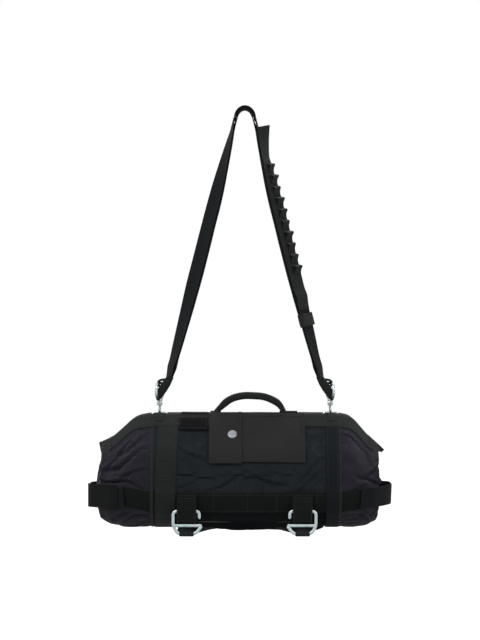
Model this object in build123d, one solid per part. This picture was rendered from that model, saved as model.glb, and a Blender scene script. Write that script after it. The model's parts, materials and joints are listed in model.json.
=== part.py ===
from build123d import *
import os
from math import radians, tan

# Rope bag hanging from its shoulder strap. +Z is up and the front faces -Y.
# The origin is where a peg or branch stub carries the strap, under its topmost bend.

# bag shell
half_centre = 177            # half length of the straight middle panel
left_reach = 95              # how far the left end goes past the middle panel
right_reach = 76
half_depth = 105
bag_top = -582
bag_bottom = -800
zip_valley = 19              # depth of the trough that the zip lies in
skin = 2.0                   # panel thickness
layer = 2.0                  # webbing thickness
stiffener_top = -791
cloth_gap = 0.3              # clearance between layers that move apart
base_line = -750             # upper edge of the base panel
tape_half = 14               # half width of the two zip tapes together

# share of the reach, share of the depth, drop of the top and rise of the bottom at each end station
end_taper = ((0.0, 1.0, 0, 0), (0.34, 0.98, 6, 1), (0.74, 0.84, 43, 9), (1.0, 0.62, 61, 20))

# webbing on the shell
webbing_width = 38
band_inner, band_outer = 20, 57     # the edge bands lie between these distances from the zip
girth_left, girth_right = -151, 165
girth_right_width = 24
lower_band_height = -750
grab_reach_left, grab_reach_right = 297, 279
handle_start, handle_end = -55, 74
handle_offset, handle_width, handle_thickness = -20, 20, 8.5
handle_top = -546
handle_base = -578.5

# pocket on the front
pocket_left, pocket_right = -68, 114
pocket_bottom = -678
tab_right = -6
pocket_inner_edge = -31
snap_place = -24
snap_height = -626

# rings, hooks and eyes
ring_place = 164
ring_wire = 2.0
ring_inner_half = 13
pivot_height = -583.5        # the ring's arch, which the bag swings about
ring_bar_drop = 12
chape_half = 9.5
hook_wire = 2.25
hook_bend = 9.5              # radius of the hook's centre line
neck_low, neck_high = -568, -560
eye_wire = 2.5
eye_low, eye_high = -558, -529
eye_half = 21.5
gate_pivot_y, gate_pivot_z = -6.6, -567.5

# shoulder strap
strap_layer = 1.5
leg_start = (17.5, -16)
leg_end = (152, -519)
leg_twist = ((0.0, 0), (0.12, 20), (0.3, 38), (0.62, 40), (0.85, 20), (1.0, 0))
strip_start, strip_end = 0.04, 0.735
loop_count = 10
loop_first, loop_last = 0.195, 0.585
loop_rise = 7.5
keeper_place = 0.775
keeper_length = 25

# hook buckles and the straps they hold
buckle_places = {"left": -112, "right": 108}
buckle_y = -111
buckle_bar = 2.6
buckle_half = 24.5
buckle_top, buckle_cross, buckle_bottom = -768, -797, -812
hang_loop_bottom = -791


from_base = (Align.CENTER, Align.CENTER, Align.MIN)


def at_x(x):
    return Plane(origin=(x, 0, 0), x_dir=(0, 1, 0), z_dir=(1, 0, 0))


def front_plane(y):
    return Plane(origin=(0, y, 0), x_dir=(1, 0, 0), z_dir=(0, -1, 0))


def block(low, high):
    size = [b - a for a, b in zip(low, high)]
    middle = [(a + b) / 2 for a, b in zip(low, high)]
    return Pos(*middle) * Box(*size)


def rod(start, end, radius):
    run = Vector(*end) - Vector(*start)
    return Plane(origin=start, z_dir=run) * Cylinder(radius, run.length, align=from_base)


def one(shape):
    return shape.solids().sort_by(SortBy.VOLUME)[-1]


def outline(depth, top, bottom, valley):
    height = top - bottom
    half = [
        (0.10 * depth, top - valley),
        (0.25 * depth, top),
        (0.54 * depth, top - 0.125 * height),
        (depth, top - 0.40 * height),
        (depth, bottom + 0.22 * height),
        (0.50 * depth, bottom),
    ]
    return [Vector(-y, z) for y, z in half] + [Vector(y, z) for y, z in reversed(half)]


def inset_outline(points, inset):
    moved = []
    for before, here, after in zip(points[-1:] + points[:-1], points, points[1:] + points[:1]):
        runs = [(here - before).normalized(), (after - here).normalized()]
        first, second = [Vector(-run.Y, run.X) for run in runs]
        moved.append(here + (first + second) * (inset / (1 + first.dot(second))))
    return moved


def rounded(points):
    radii = []
    for before, here, after in zip(points[-1:] + points[:-1], points, points[1:] + points[:1]):
        shorter = min((here - before).length, (after - here).length)
        turn = (here - before).get_angle(after - here)
        radii.append(0.4 * shorter / tan(radians(turn) / 2))
    return make_face(FilletPolyline(*points, radius=radii, close=True))


def bag_solid(inset):
    sections = []
    for side, reach in ((-1, left_reach), (1, right_reach)):
        for along, deep, drop, rise in end_taper:
            x = half_centre + along * reach - (inset if along == 1.0 else 0)
            valley = zip_valley * (1 - 0.6 * along)
            points = outline(half_depth * deep, bag_top - drop, bag_bottom + rise, valley)
            sections.append((side * x, at_x(side * x) * rounded(inset_outline(points, inset))))
    sections.sort(key=lambda section: section[0])
    return loft([face for _, face in sections], ruled=True)


def shell(inner, outer):
    return bag_solid(-outer) - bag_solid(-inner)


def strap_frame(share, side, lift=0.0):
    start = Vector(side * leg_start[0], 0, leg_start[1])
    run = Vector(side * leg_end[0], 0, leg_end[1]) - start
    along = run.normalized()
    for (low, low_turn), (high, high_turn) in zip(leg_twist, leg_twist[1:]):
        if low <= share <= high:
            turn = low_turn + (high_turn - low_turn) * (share - low) / (high - low)
    width = Vector(0, 1, 0).rotate(Axis((0, 0, 0), along), side * turn)
    face_out = along.cross(width) * side
    return Plane(origin=start + run * share + face_out * lift, x_dir=width, z_dir=along)


def leg(side, low, high, lift, thickness, width):
    shares = [low] + [share for share, _ in leg_twist if low < share < high] + [high]
    faces = [strap_frame(share, side, lift) * Rectangle(width, thickness) for share in shares]
    return loft(faces, ruled=True)


def shell_parts(parts):
    hull = shell(-skin, 0)
    far = 400
    middle = (-half_centre, half_centre)
    parts["front_panel"] = hull & block((middle[0], -far, base_line), (middle[1], -tape_half, 0))
    parts["back_panel"] = hull & block((middle[0], tape_half, base_line), (middle[1], far, 0))
    parts["base_panel"] = hull & block((middle[0], -far, -far * 3), (middle[1], far, base_line))
    parts["left_end_panel"] = hull & block((-far, -far, -far * 3), (middle[0], far, 0))
    parts["right_end_panel"] = hull & block((middle[1], -far, -far * 3), (far, far, 0))
    top = block((middle[0], -tape_half, base_line), (middle[1], tape_half, 0)) & hull
    sides = (((-far, -far, -far * 3), (far, -0.15, 0)), ((-far, 0.15, -far * 3), (far, far, 0)))
    parts["zip_tapes"] = [top & block(low, high) for low, high in sides]
    board = block((-165, -44, -1000), (165, 44, stiffener_top))
    parts["base_stiffener"] = bag_solid(skin + cloth_gap) & board


def zip_parts(parts):
    coil_top = bag_top - zip_valley + 2.4
    floor = bag_top - zip_valley
    parts["zip_coil"] = block((-146, -2, floor), (146, 2, coil_top))
    stop = block((-1.5, -2, floor), (1.5, 2, coil_top + 0.6))
    parts["zip_end_stops"] = [Pos(x, 0, 0) * stop for x in (-148, 148)]
    slider = block((130, -6, coil_top + cloth_gap), (143, 6, coil_top + 3.3))
    bridge = block((133, -1.6, coil_top + 3.3), (140, 1.6, coil_top + 6.3))
    eye = rod((136.5, -3, coil_top + 4.8), (136.5, 3, coil_top + 4.8), 1.07)
    parts["zip_slider"] = fillet(slider.edges().filter_by(Axis.Z), 2.5) + (bridge - eye)
    pull = block((104, -4, coil_top + 4.0), (138, 4, coil_top + 5.6))
    slot = block((131.5, -2.2, coil_top), (141, 2.2, coil_top + 9))
    pin = rod((136.5, -3.9, coil_top + 4.8), (136.5, 3.9, coil_top + 4.8), 1.0)
    parts["zip_pull"] = (fillet(pull.edges().filter_by(Axis.Z), 2.5) - slot) + pin


def edge_bands(parts):
    hull = shell(0, layer)
    for name, side in (("edge_band_front", -1), ("edge_band_back", 1)):
        near, far = sorted((side * band_inner, side * band_outer))
        parts[name] = one(hull & block((-262, near, -672), (244, far, 0)))
    parts["left_end_tab"] = end_tab(((-256, -632), (-281, -641), (-281, -662), (-273, -660), (-262, -645)))
    parts["right_end_tab"] = end_tab(((240, -629), (267, -654), (263, -659), (254, -652), (240, -636)))


def end_tab(corners):
    face = front_plane(0) * make_face(Polyline(*corners, close=True))
    return one(extrude(face, 2.2, both=True) - bag_solid(-0.3))


def shell_straps(parts):
    band = (lower_band_height - webbing_width / 2, lower_band_height + webbing_width / 2)
    hull = shell(0, layer)
    band_low, band_high = band
    parts["lower_band_front"] = hull & block((-232, -400, band_low), (222, 0, band_high))
    parts["lower_band_back"] = hull & block((-232, 0, band_low), (222, 400, band_high))
    left = ("girth_strap_left", girth_left, webbing_width)
    right = ("girth_strap_right", girth_right, girth_right_width)
    for name, place, width in (left, right):
        around = hull & block((place - width / 2, -400, -1000), (place + width / 2, 400, -614))
        parts[name] = around - block((-400, -400, band_low - 0.1), (400, 400, band_high + 0.1))
    patch = block((-125, -400, -617), (-71, pocket_inner_edge, -594))
    parts["label_patch"] = shell(layer + 0.1, layer + 1.2) & patch
    strip = block((-121, -34, -600), (-70, -22, 0))
    parts["label_top_strip"] = one(shell(layer + 0.1, layer + 2.6) & strip)
    for name, side, reach, begin in (
        ("left_grab_loop", -1, grab_reach_left, 232),
        ("right_grab_loop", 1, grab_reach_right, 222),
    ):
        parts[name] = grab_loop(side, reach, begin, 0, layer, band_low + 1, band_high + 1)
    cover = grab_loop(-1, grab_reach_left + 1.9, 240, -1.9, 0, band_low - 4, band_high + 5)
    parts["left_loop_sleeve"] = one(cover & block((-400, -400, -1000), (0, -30, 0)))


def grab_loop(side, reach, begin, inner, outer, low, high):
    faces = []
    for depth in (inner, outer):
        corners = (
            (side * begin, -100 + depth),
            (side * (begin + 20), -99 + depth),
            (side * (reach - depth), -58 + depth),
            (side * (reach - depth), 58 - depth),
            (side * (begin + 20), 99 - depth),
            (side * begin, 100 - depth),
        )
        path = FilletPolyline(*corners, radius=[24, 30, 30, 24])
        faces.append(make_face(path + Line(corners[-1], corners[0])))
    ring = faces[0] - faces[1]
    return one(extrude(Pos(0, 0, low) * ring, high - low) - bag_solid(-layer - 0.1))


def handle_parts(parts):
    width_low = handle_offset - handle_width / 2
    width_high = handle_offset + handle_width / 2
    reach = handle_end - handle_start
    middle = (handle_start + handle_end) / 2
    top = handle_top - handle_thickness / 2
    route = FilletPolyline(
        (handle_start, handle_base),
        (handle_start + 0.2 * reach, top - 6),
        (middle - 0.1 * reach, top + 1),
        (middle + 0.22 * reach, top - 1),
        (handle_end - 0.08 * reach, top - 14),
        (handle_end, handle_base),
        radius=[26, 60, 60, 30],
    )
    arch = front_plane(width_low) * trace(route, handle_thickness)
    above_feet = block((-400, -400, handle_base), (400, 400, 0))
    parts["carry_handle"] = one(extrude(arch, -handle_width) & above_feet)
    feet = shell(layer + 0.1, layer + 2.4)
    parts["handle_feet"] = [
        one(feet & block((start, width_low, -600), (end, width_high, handle_base - 0.4)))
        for start, end in ((-66, -46), (66, 100))
    ]


def face_point(height, lift):
    # a point on the sloping face above the widest line, lifted off along the face's outward direction
    low = Vector(0, -half_depth, bag_top - 0.40 * (bag_top - bag_bottom))
    high = Vector(0, -0.54 * half_depth, bag_top - 0.125 * (bag_top - bag_bottom))
    run = low - high
    out = Vector(0, run.Z, -run.Y).normalized()
    return high + run * ((high.Z - height) / (high.Z - low.Z)) + out * lift, out


def pocket_parts(parts):
    cloth = layer + 0.1
    body = shell(cloth, cloth + 1.5)
    tab = shell(cloth + 2.1, cloth + 3.7)
    centre, out = face_point(snap_height, cloth)
    snap = Plane(origin=(snap_place, centre.Y, centre.Z), x_dir=(1, 0, 0), z_dir=out)

    def disc(radius, low, high):
        return snap * Pos(0, 0, low) * Cylinder(radius, high - low, align=from_base)

    pocket = body & block((pocket_left, -400, pocket_bottom), (pocket_right, pocket_inner_edge, 0))
    flap = tab & block((pocket_left, -400, pocket_bottom - 3), (tab_right, pocket_inner_edge, 0))
    parts["pocket"] = one(pocket - disc(2.0, -1, 3))
    parts["pocket_tab"] = one(flap - disc(5.5, 1, 5))
    parts["snap_stud"] = disc(2.0, 0, 3.1) + disc(2.6, 2.4, 3.1)
    parts["snap_socket"] = disc(5.5, 2.2, 3.7) - disc(3.1, 2.0, 3.45)
    cap = disc(8.9, 3.72, 5.8)
    parts["snap_cap"] = fillet(cap.edges().group_by(lambda edge: (edge.center() - centre).dot(out))[-1], 1.6)


def ring_parts(parts):
    for name, side in (("left", -1), ("right", 1)):
        x = side * ring_place
        bar = pivot_height - ring_bar_drop
        corners = (
            (x - ring_inner_half - ring_wire, bar),
            (x - ring_inner_half - ring_wire, pivot_height - 3),
            (x - ring_inner_half + 3, pivot_height),
            (x + ring_inner_half - 3, pivot_height),
            (x + ring_inner_half + ring_wire, pivot_height - 3),
            (x + ring_inner_half + ring_wire, bar),
        )
        route = FilletPolyline(*[(a, 0, b) for a, b in corners], radius=2.4, close=True)
        start = route @ 0
        section = Plane(origin=start, z_dir=route % 0) * Circle(ring_wire)
        parts[f"{name}_d_ring"] = sweep(section, route)
        wrap = rod((x - chape_half, 0, bar), (x + chape_half, 0, bar), ring_wire + 1.2)
        wrap -= rod((x - 20, 0, bar), (x + 20, 0, bar), ring_wire)
        band = block((x - chape_half, -45, -616), (x + chape_half, 45, 0))
        strip = shell(layer + 0.1, layer + 1.3) & band
        stem = block((x - chape_half, -1.6, bar - 4), (x + chape_half, 1.6, bar - ring_wire - 0.6))
        parts[f"{name}_ring_chape"] = one((strip + wrap + stem) - bag_solid(-layer - 0.05))


def hook_parts(parts):
    for name, side in (("left", -1), ("right", 1)):
        x = side * ring_place
        centre = pivot_height - ring_wire - hook_wire + hook_bend
        back = FilletPolyline(
            (x, 0, neck_low + 1),
            (x, hook_bend, neck_low - 2),
            (x, hook_bend, centre - hook_bend),
            (x, -hook_bend, centre - hook_bend),
            (x, -hook_bend, centre + 3),
            radius=[3.5, hook_bend - 0.3, hook_bend - 0.3],
        )
        wire = sweep(Plane(origin=back @ 0, z_dir=back % 0) * Circle(hook_wire), back)
        collar = rod((x, 0, neck_low), (x, 0, neck_low + 4.2), 5)
        post = rod((x, 0, neck_low + 4), (x, 0, eye_low + 0.5), 2.2)
        head = rod((x, 0, eye_low + 0.45), (x, 0, eye_low + 2.6), 3.6)
        pivot = Pos(x, gate_pivot_y, gate_pivot_z)
        ears = pivot * block((-3.4, -3, -2), (3.4, 3, 4))
        slot = pivot * block((-1.7, -4, -3), (1.7, 4, 2.6))
        hole = pivot * rod((-4, 0, 0), (4, 0, 0), 0.9)
        bridge = block((x - 3.4, gate_pivot_y, neck_low + 1), (x + 3.4, 0, neck_low + 3.8))
        body = wire + collar + post + head + ears + bridge
        parts[f"{name}_hook_body"] = one(body - slot - hole)
        parts[f"{name}_gate_pin"] = pivot * rod((-3.4, 0, 0), (3.4, 0, 0), 0.86)
        lever = rod((x, gate_pivot_y, gate_pivot_z), (x, -hook_bend + 4.0, centre + 1.5), 1.35)
        knuckle = pivot * rod((-1.4, 0, 0), (1.4, 0, 0), 1.9)
        gate_hole = pivot * rod((-4, 0, 0), (4, 0, 0), 0.92)
        parts[f"{name}_hook_gate"] = one((lever + knuckle) - gate_hole)
        low, high = eye_low + eye_wire, eye_high
        half = eye_half
        corners = [(x, -half, low - 3), (x, half, low - 3), (x, half, high), (x, -half, high)]
        loop = FilletPolyline(*corners, radius=5.5, close=True)
        eye = sweep(Plane(origin=loop @ 0, z_dir=loop % 0) * Circle(eye_wire), loop)
        barrel = rod((x, 0, eye_low - 3.4), (x, 0, eye_low + 0.3), 5.4)
        bore = rod((x, 0, eye_low - 9), (x, 0, eye_low + 12), 2.3)
        parts[f"{name}_eye"] = one((eye + barrel) - bore - rod((x, 0, eye_low + 0.3), (x, 0, eye_low + 5), 3.8))


def strap_parts(parts):
    middle = front_plane(0)
    half = webbing_width / 2
    for name, lift in (("strap_outer_layer", 0.8), ("strap_inner_layer", -0.8)):
        left_leg = leg(-1, 0, 1, lift, strap_layer, webbing_width)
        right_leg = leg(1, 0, 1, lift, strap_layer, webbing_width)
        ends = [strap_frame(0, side, lift).origin for side in (-1, 1)]
        crown = Vector(0, 0, strap_layer + 0.1 + lift)
        bend = ThreePointArc((ends[0].X, ends[0].Z), (0, crown.Z), (ends[1].X, ends[1].Z))
        arch = extrude(middle * trace(bend, strap_layer), half, both=True)
        parts[name] = one(arch + left_leg + right_leg)
    strip_lift = 0.8 + strap_layer + 0.1
    parts["loop_strip"] = leg(1, strip_start, strip_end, strip_lift, strap_layer, webbing_width - 2)
    loops = []
    for number in range(loop_count):
        share = loop_first + (loop_last - loop_first) * number / (loop_count - 1)
        frame = strap_frame(share, 1, strip_lift + strap_layer / 2 + 0.1)
        side_view = Plane(origin=frame.origin, x_dir=-frame.z_dir, z_dir=frame.x_dir)
        route = FilletPolyline((-9.5, 0.75), (-3, 2.5), (3.5, loop_rise), (7.5, 0.7), radius=[6, 2.0])
        below = side_view * Pos(0, -5, 0) * Box(40, 10, 60)
        loops.append(one(extrude(side_view * trace(route, 1.4), 12, both=True) - below))
    parts["gear_loops"] = loops
    keeper = strap_frame(keeper_place, 1, 0.8)
    sleeve = Rectangle(webbing_width + 9, 12) - Rectangle(webbing_width + 5, 8)
    parts["keeper"] = extrude(keeper * sleeve, keeper_length / 2, both=True)
    for name, side in (("left", -1), ("right", 1)):
        x = side * ring_place
        corners = [(149, -512), (168.5, -523), (170.5, -531), (158, -536), (144, -518)]
        profile = Polyline(*[(side * a, b) for a, b in corners], close=True)
        leaf = extrude(middle * make_face(profile), half, both=True)
        roll = rod((x, -half, eye_high), (x, half, eye_high), 5.6)
        channel = rod((x, -half - 1, eye_high), (x, half + 1, eye_high), eye_wire + 0.1)
        end = (leaf + roll) - channel - parts["strap_outer_layer"] - parts["strap_inner_layer"]
        parts[f"{name}_strap_end"] = one(end)


def hook_buckle():
    # a wire frame with a slot for the belly strap and, above the cross bar, a hook that is open on one side
    route = FilletPolyline(
        (buckle_half, buckle_top - 18),
        (buckle_half, buckle_top),
        (-buckle_half, buckle_top),
        (-buckle_half, buckle_cross - 1),
        (9 - buckle_half, buckle_bottom),
        (buckle_half - 7, buckle_bottom),
        (buckle_half + 2, buckle_cross),
        radius=[5, 5, 8, 5, 5],
    )
    route = front_plane(buckle_y) * route
    frame = sweep(Plane(origin=route @ 0, z_dir=route % 0) * Circle(buckle_bar), route)
    inner, outer = 1 - buckle_half, buckle_half + 2
    cross = rod((inner, buckle_y, buckle_cross), (outer, buckle_y, buckle_cross), buckle_bar - 0.05)
    ends = [Pos(*(route @ place)) * Sphere(buckle_bar + 0.02) for place in (0, 1)]
    return frame + cross + ends[0] + ends[1]


def buckle_parts(parts):
    for name, x in buckle_places.items():
        inner = 1 if x < 0 else -1
        frame = hook_buckle() if inner == 1 else mirror(hook_buckle(), Plane.YZ)
        parts[f"{name}_hook_buckle"] = one(Pos(x, 0, 0) * frame)
        parts[f"{name}_hang_loop"] = hang_loop(x)
        parts[f"{name}_belly_wrap"] = belly_wrap(x)
        tail = (
            (x + inner * 16, buckle_bottom + 3),
            (x + inner * 50, buckle_bottom + 10),
            (x + inner * 50, buckle_bottom + 12),
            (x + inner * 30, buckle_bottom + 14),
        )
        wedge = front_plane(buckle_y + 6) * make_face(Polyline(*tail, close=True))
        parts[f"{name}_strap_tail"] = extrude(wedge, -3)
    parts["belly_straps"] = [belly_strap(x) for x in buckle_places.values()]


def hang_loop(x):
    front = buckle_y - buckle_bar - 1.2
    rear = buckle_y + buckle_bar + 1.3
    seam = -half_depth - layer - 1.3
    high = lower_band_height
    route = FilletPolyline(
        (rear, high - 17),
        (rear, hang_loop_bottom),
        (front, hang_loop_bottom),
        (front, buckle_top + 6),
        (seam, high - 2),
        (seam, high + 14),
        radius=[3, 3, 10, 10],
    )
    return one(extrude(at_x(x) * trace(route, 1.6), 18.5, both=True))


def belly_wrap(x):
    wrap = rod((-13, 0, 0), (13, 0, 0), buckle_bar + 1.9)
    wrap -= rod((-14, 0, 0), (14, 0, 0), buckle_bar + 0.1)
    tongue = block((-13, buckle_bar + 1.4, -1), (13, 14, 2.4))
    return Pos(x, buckle_y, buckle_bottom) * one(wrap + tongue)


def belly_strap(x):
    under = bag_bottom - layer - 1.2
    route = FilletPolyline(
        (buckle_y + 16, buckle_bottom + 2),
        (-60, under - 2),
        (-40, under),
        (60, under),
        radius=[40, 40],
    )
    return one(extrude(at_x(x) * trace(route, 1.8), 18.5, both=True))


def main():
    parts = {}
    bag = (shell_parts, zip_parts, edge_bands, shell_straps, handle_parts, pocket_parts)
    hung = (ring_parts, hook_parts, strap_parts, buckle_parts)
    for build in bag + hung:
        build(parts)
        print(build.__name__, "done")
    os.makedirs("parts", exist_ok=True)
    for name, shape in parts.items():
        group = shape if isinstance(shape, list) else [shape]
        solids = [solid for item in group for solid in item.solids()]
        export_step(Compound(children=solids), f"parts/{name}.step")


main()
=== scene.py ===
import json
from functools import partial
from math import cos, pi, radians, sin

import bpy
import bmesh
import numpy as np
from mathutils import Matrix, Vector


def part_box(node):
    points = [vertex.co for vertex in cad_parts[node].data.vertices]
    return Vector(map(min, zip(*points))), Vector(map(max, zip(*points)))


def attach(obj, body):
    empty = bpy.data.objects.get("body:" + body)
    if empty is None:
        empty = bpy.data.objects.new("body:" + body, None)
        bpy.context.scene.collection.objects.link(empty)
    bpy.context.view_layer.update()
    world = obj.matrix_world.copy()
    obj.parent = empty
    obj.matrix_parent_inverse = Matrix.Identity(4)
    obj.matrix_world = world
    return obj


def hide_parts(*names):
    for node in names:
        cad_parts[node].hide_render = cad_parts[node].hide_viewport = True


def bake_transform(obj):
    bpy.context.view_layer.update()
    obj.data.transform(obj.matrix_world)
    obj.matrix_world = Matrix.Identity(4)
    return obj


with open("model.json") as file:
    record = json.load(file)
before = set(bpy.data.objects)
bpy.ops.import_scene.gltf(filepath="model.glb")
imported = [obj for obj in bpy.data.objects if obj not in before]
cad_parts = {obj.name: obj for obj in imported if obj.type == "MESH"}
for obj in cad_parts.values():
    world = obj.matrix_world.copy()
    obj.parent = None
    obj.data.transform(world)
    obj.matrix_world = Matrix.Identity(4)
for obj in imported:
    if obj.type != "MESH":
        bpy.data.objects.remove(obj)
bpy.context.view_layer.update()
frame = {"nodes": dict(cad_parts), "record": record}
nodes = frame["nodes"]

# stage

cameraLook = {"x": -0.0095, "z": -0.406, "plane": -0.055, "distance": 4.6, "viewHeight": 1.216}


def deselectAll():
    if bpy.context.object and bpy.context.object.mode != "OBJECT":
        bpy.ops.object.mode_set(mode="OBJECT")
    for o in bpy.context.selected_objects:
        o.select_set(False)
    bpy.context.view_layer.objects.active = None


def takeOnly(*objs):
    deselectAll()
    for obj in objs:
        obj.select_set(True)
    bpy.context.view_layer.objects.active = objs[0]


def joinPieces(*objs):
    takeOnly(*objs)
    bpy.ops.object.join()
    return objs[0]


def makeCamera():
    data = bpy.data.cameras.new("camera")
    cam = bpy.data.objects.new("camera", data)
    bpy.context.scene.collection.objects.link(cam)
    cam.location = (cameraLook["x"], cameraLook["plane"] - cameraLook["distance"], cameraLook["z"])
    cam.rotation_euler = (radians(90), 0, 0)
    data.sensor_width = 36
    data.lens = 36 * cameraLook["distance"] / cameraLook["viewHeight"]
    bpy.context.scene.camera = cam


def makeLight(name, place, aim, power, size):
    data = bpy.data.lights.new(name, "AREA")
    data.energy = power
    data.shape = "RECTANGLE"
    data.size, data.size_y = size
    lamp = bpy.data.objects.new(name, data)
    bpy.context.scene.collection.objects.link(lamp)
    lamp.location = place
    lamp.rotation_euler = (Vector(aim) - Vector(place)).to_track_quat("-Z", "Y").to_euler()


def makeStage():
    deselectAll()
    bpy.ops.mesh.primitive_plane_add(size=60, location=(0, 0, -2.2))
    floor = bpy.context.object
    floor.name = "floor"
    paint = bpy.data.materials.new("floorPaint")
    paint.use_nodes = True
    shader = paint.node_tree.nodes["Principled BSDF"]
    shader.inputs["Roughness"].default_value = 0.9
    shader.inputs["Emission Color"].default_value = (1, 1, 1, 1)
    # the floor looks white but throws little light up at the bag
    links, ray = paint.node_tree.links, paint.node_tree.nodes.new("ShaderNodeLightPath")
    for socket, dim, bright in (("Base Color", 0.5, 0.93), ("Emission Strength", 0.0, 0.25)):
        level = paint.node_tree.nodes.new("ShaderNodeMapRange")
        level.inputs["To Min"].default_value = dim
        level.inputs["To Max"].default_value = bright
        links.new(ray.outputs["Is Camera Ray"], level.inputs["Value"])
        links.new(level.outputs[0], shader.inputs[socket])
    floor.data.materials.append(paint)
    world = bpy.data.worlds.new("studio")
    world.use_nodes = True
    world.node_tree.nodes["Background"].inputs["Color"].default_value = (1, 1, 1, 1)
    bpy.context.scene.world = world
    bpy.context.scene.view_settings.view_transform = "Standard"
    makeLight("keyLight", (-1.3, -2.2, 1.3), (0, 0, -0.6), 60, (1.6, 1.6))
    makeLight("fillLight", (1.8, -1.8, 0.2), (0, 0, -0.6), 20, (1.4, 1.8))
    makeLight("rimLight", (0.3, 1.6, 1.2), (0, 0, -0.6), 25, (1.6, 1.0))


makeCamera()
makeStage()
print("stage ready")

# finishes


def newGroup(name, **inputs):
    # each effect gives a colour, a roughness and a height; an input without a value is a vector
    group = bpy.data.node_groups.new(name, "ShaderNodeTree")
    for label, value in inputs.items():
        kind = "Vector" if value is None else "Color" if isinstance(value, tuple) else "Float"
        socket = group.interface.new_socket(label, in_out="INPUT", socket_type="NodeSocket" + kind)
        if value is not None:
            socket.default_value = value
    for label, kind in (("Color", "Color"), ("Roughness", "Float"), ("Height", "Float")):
        group.interface.new_socket(label, in_out="OUTPUT", socket_type="NodeSocket" + kind)
    return group, group.nodes.new("NodeGroupInput").outputs, group.nodes.new("NodeGroupOutput").inputs


def closeGroup(group, end, colour, rough, height):
    for label, source in (("Color", colour), ("Roughness", rough), ("Height", height)):
        group.links.new(source, end[label])
    return group


def addNode(tree, kind, links=(), **values):
    node = tree.nodes.new(kind)
    for key, value in values.items():
        if hasattr(node, key):
            setattr(node, key, value)
    for socket, source in links:
        if isinstance(source, (int, float, tuple)):
            node.inputs[socket].default_value = source
        else:
            tree.links.new(source, node.inputs[socket])
    return node


def mathNode(tree, operation, a, b=0.0):
    return addNode(tree, "ShaderNodeMath", [(0, a), (1, b)], operation=operation).outputs[0]


def mixColour(tree, share, a, b):
    return addNode(tree, "ShaderNodeMix", [(0, share), (6, a), (7, b)], data_type="RGBA").outputs[2]


def noise(tree, vector, scale, detail, distortion=0.0):
    return addNode(tree, "ShaderNodeTexNoise", [("Vector", vector), ("Scale", scale), ("Detail", detail),
                                                ("Distortion", distortion)]).outputs[0]


def makeRibGroup():
    # webbing: crosswise ribs over lengthwise cords, with a little fuzz; the UV map is in metres, x along
    group, start, end = newGroup("webbingRibs", UV=None, Pitch=0.0017, Base=(0.02, 0.02, 0.02, 1),
                                 Light=(0.06, 0.06, 0.06, 1))
    calc = partial(mathNode, group)
    split = addNode(group, "ShaderNodeSeparateXYZ", [(0, start["UV"])])
    along = calc("DIVIDE", split.outputs[0], start["Pitch"])
    across = calc("DIVIDE", split.outputs[1], calc("MULTIPLY", start["Pitch"], 1.3))
    ribs, cords = [calc("ABSOLUTE", calc("SINE", calc("MULTIPLY", count, pi))) for count in (along, across)]
    height = calc("ADD", ribs, calc("MULTIPLY", cords, 0.45))
    fuzz, patch = noise(group, start["UV"], 900.0, 2.0), noise(group, start["UV"], 16.0, 3.0)
    tone = calc("ADD", calc("MULTIPLY", height, 0.4), calc("MULTIPLY", calc("ADD", fuzz, patch), 0.28))
    return closeGroup(group, end, mixColour(group, tone, start["Base"], start["Light"]),
                      calc("ADD", calc("MULTIPLY", patch, 0.25), 0.55),
                      calc("ADD", height, calc("MULTIPLY", fuzz, 0.3)))


def makeWeaveGroup():
    # plain woven cloth: over-under threads, broad fading and fine creases, on a UV map in metres
    group, start, end = newGroup("plainWeave", UV=None, Pitch=0.0009, Base=(0.02, 0.02, 0.02, 1),
                                 Light=(0.06, 0.06, 0.06, 1), Gloss=0.5)
    calc = partial(mathNode, group)
    split = addNode(group, "ShaderNodeSeparateXYZ", [(0, start["UV"])])
    counts = [calc("DIVIDE", split.outputs[place], start["Pitch"]) for place in (0, 1)]
    threads = calc("MULTIPLY", *[calc("SINE", calc("MULTIPLY", count, 2 * pi)) for count in counts])
    broad, fine = noise(group, start["UV"], 9.0, 4.0), noise(group, start["UV"], 700.0, 2.0)
    crease = noise(group, start["UV"], 42.0, 5.0, 1.4)
    tone = calc("ADD", calc("MULTIPLY", threads, 0.14), calc("MULTIPLY", broad, 0.6))
    tone = calc("ADD", tone, calc("MULTIPLY", fine, 0.25))
    rough = calc("ADD", 0.72, calc("MULTIPLY", crease, 0.2))
    rough = calc("SUBTRACT", rough, calc("MULTIPLY", start["Gloss"], 0.45))
    return closeGroup(group, end, mixColour(group, tone, start["Base"], start["Light"]), rough,
                      calc("ADD", calc("MULTIPLY", threads, 0.22), calc("MULTIPLY", crease, 2.2)))


def makeScuffGroup():
    # metal: fine scratches, handling marks and a darker film in noise patches
    group, start, end = newGroup("metalScuffs", Vector=None, Base=(0.8, 0.8, 0.8, 1), Film=(0.4, 0.4, 0.42, 1),
                                 Rough=0.25)
    calc = partial(mathNode, group)
    stretch = addNode(group, "ShaderNodeMapping", [(0, start["Vector"]), (3, (1.0, 1.0, 0.12))])
    lines, marks = noise(group, stretch.outputs[0], 900.0, 3.0), noise(group, start["Vector"], 90.0, 4.0)
    share = addNode(group, "ShaderNodeMapRange", [(0, marks), (1, 0.5), (2, 0.75), (3, 0.0), (4, 0.8)])
    return closeGroup(group, end, mixColour(group, share.outputs[0], start["Base"], start["Film"]),
                      calc("ADD", start["Rough"], calc("MULTIPLY", calc("ADD", lines, marks), 0.16)), lines)


def newPaint(name):
    paint = bpy.data.materials.new(name)
    paint.use_nodes = True
    return paint, paint.node_tree, paint.node_tree.nodes["Principled BSDF"]


def bumpFrom(tree, shader, height, distance, strength=1.0):
    bump = addNode(tree, "ShaderNodeBump", [("Strength", strength), ("Height", height), ("Distance", distance)])
    tree.links.new(bump.outputs[0], shader.inputs["Normal"])


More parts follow.
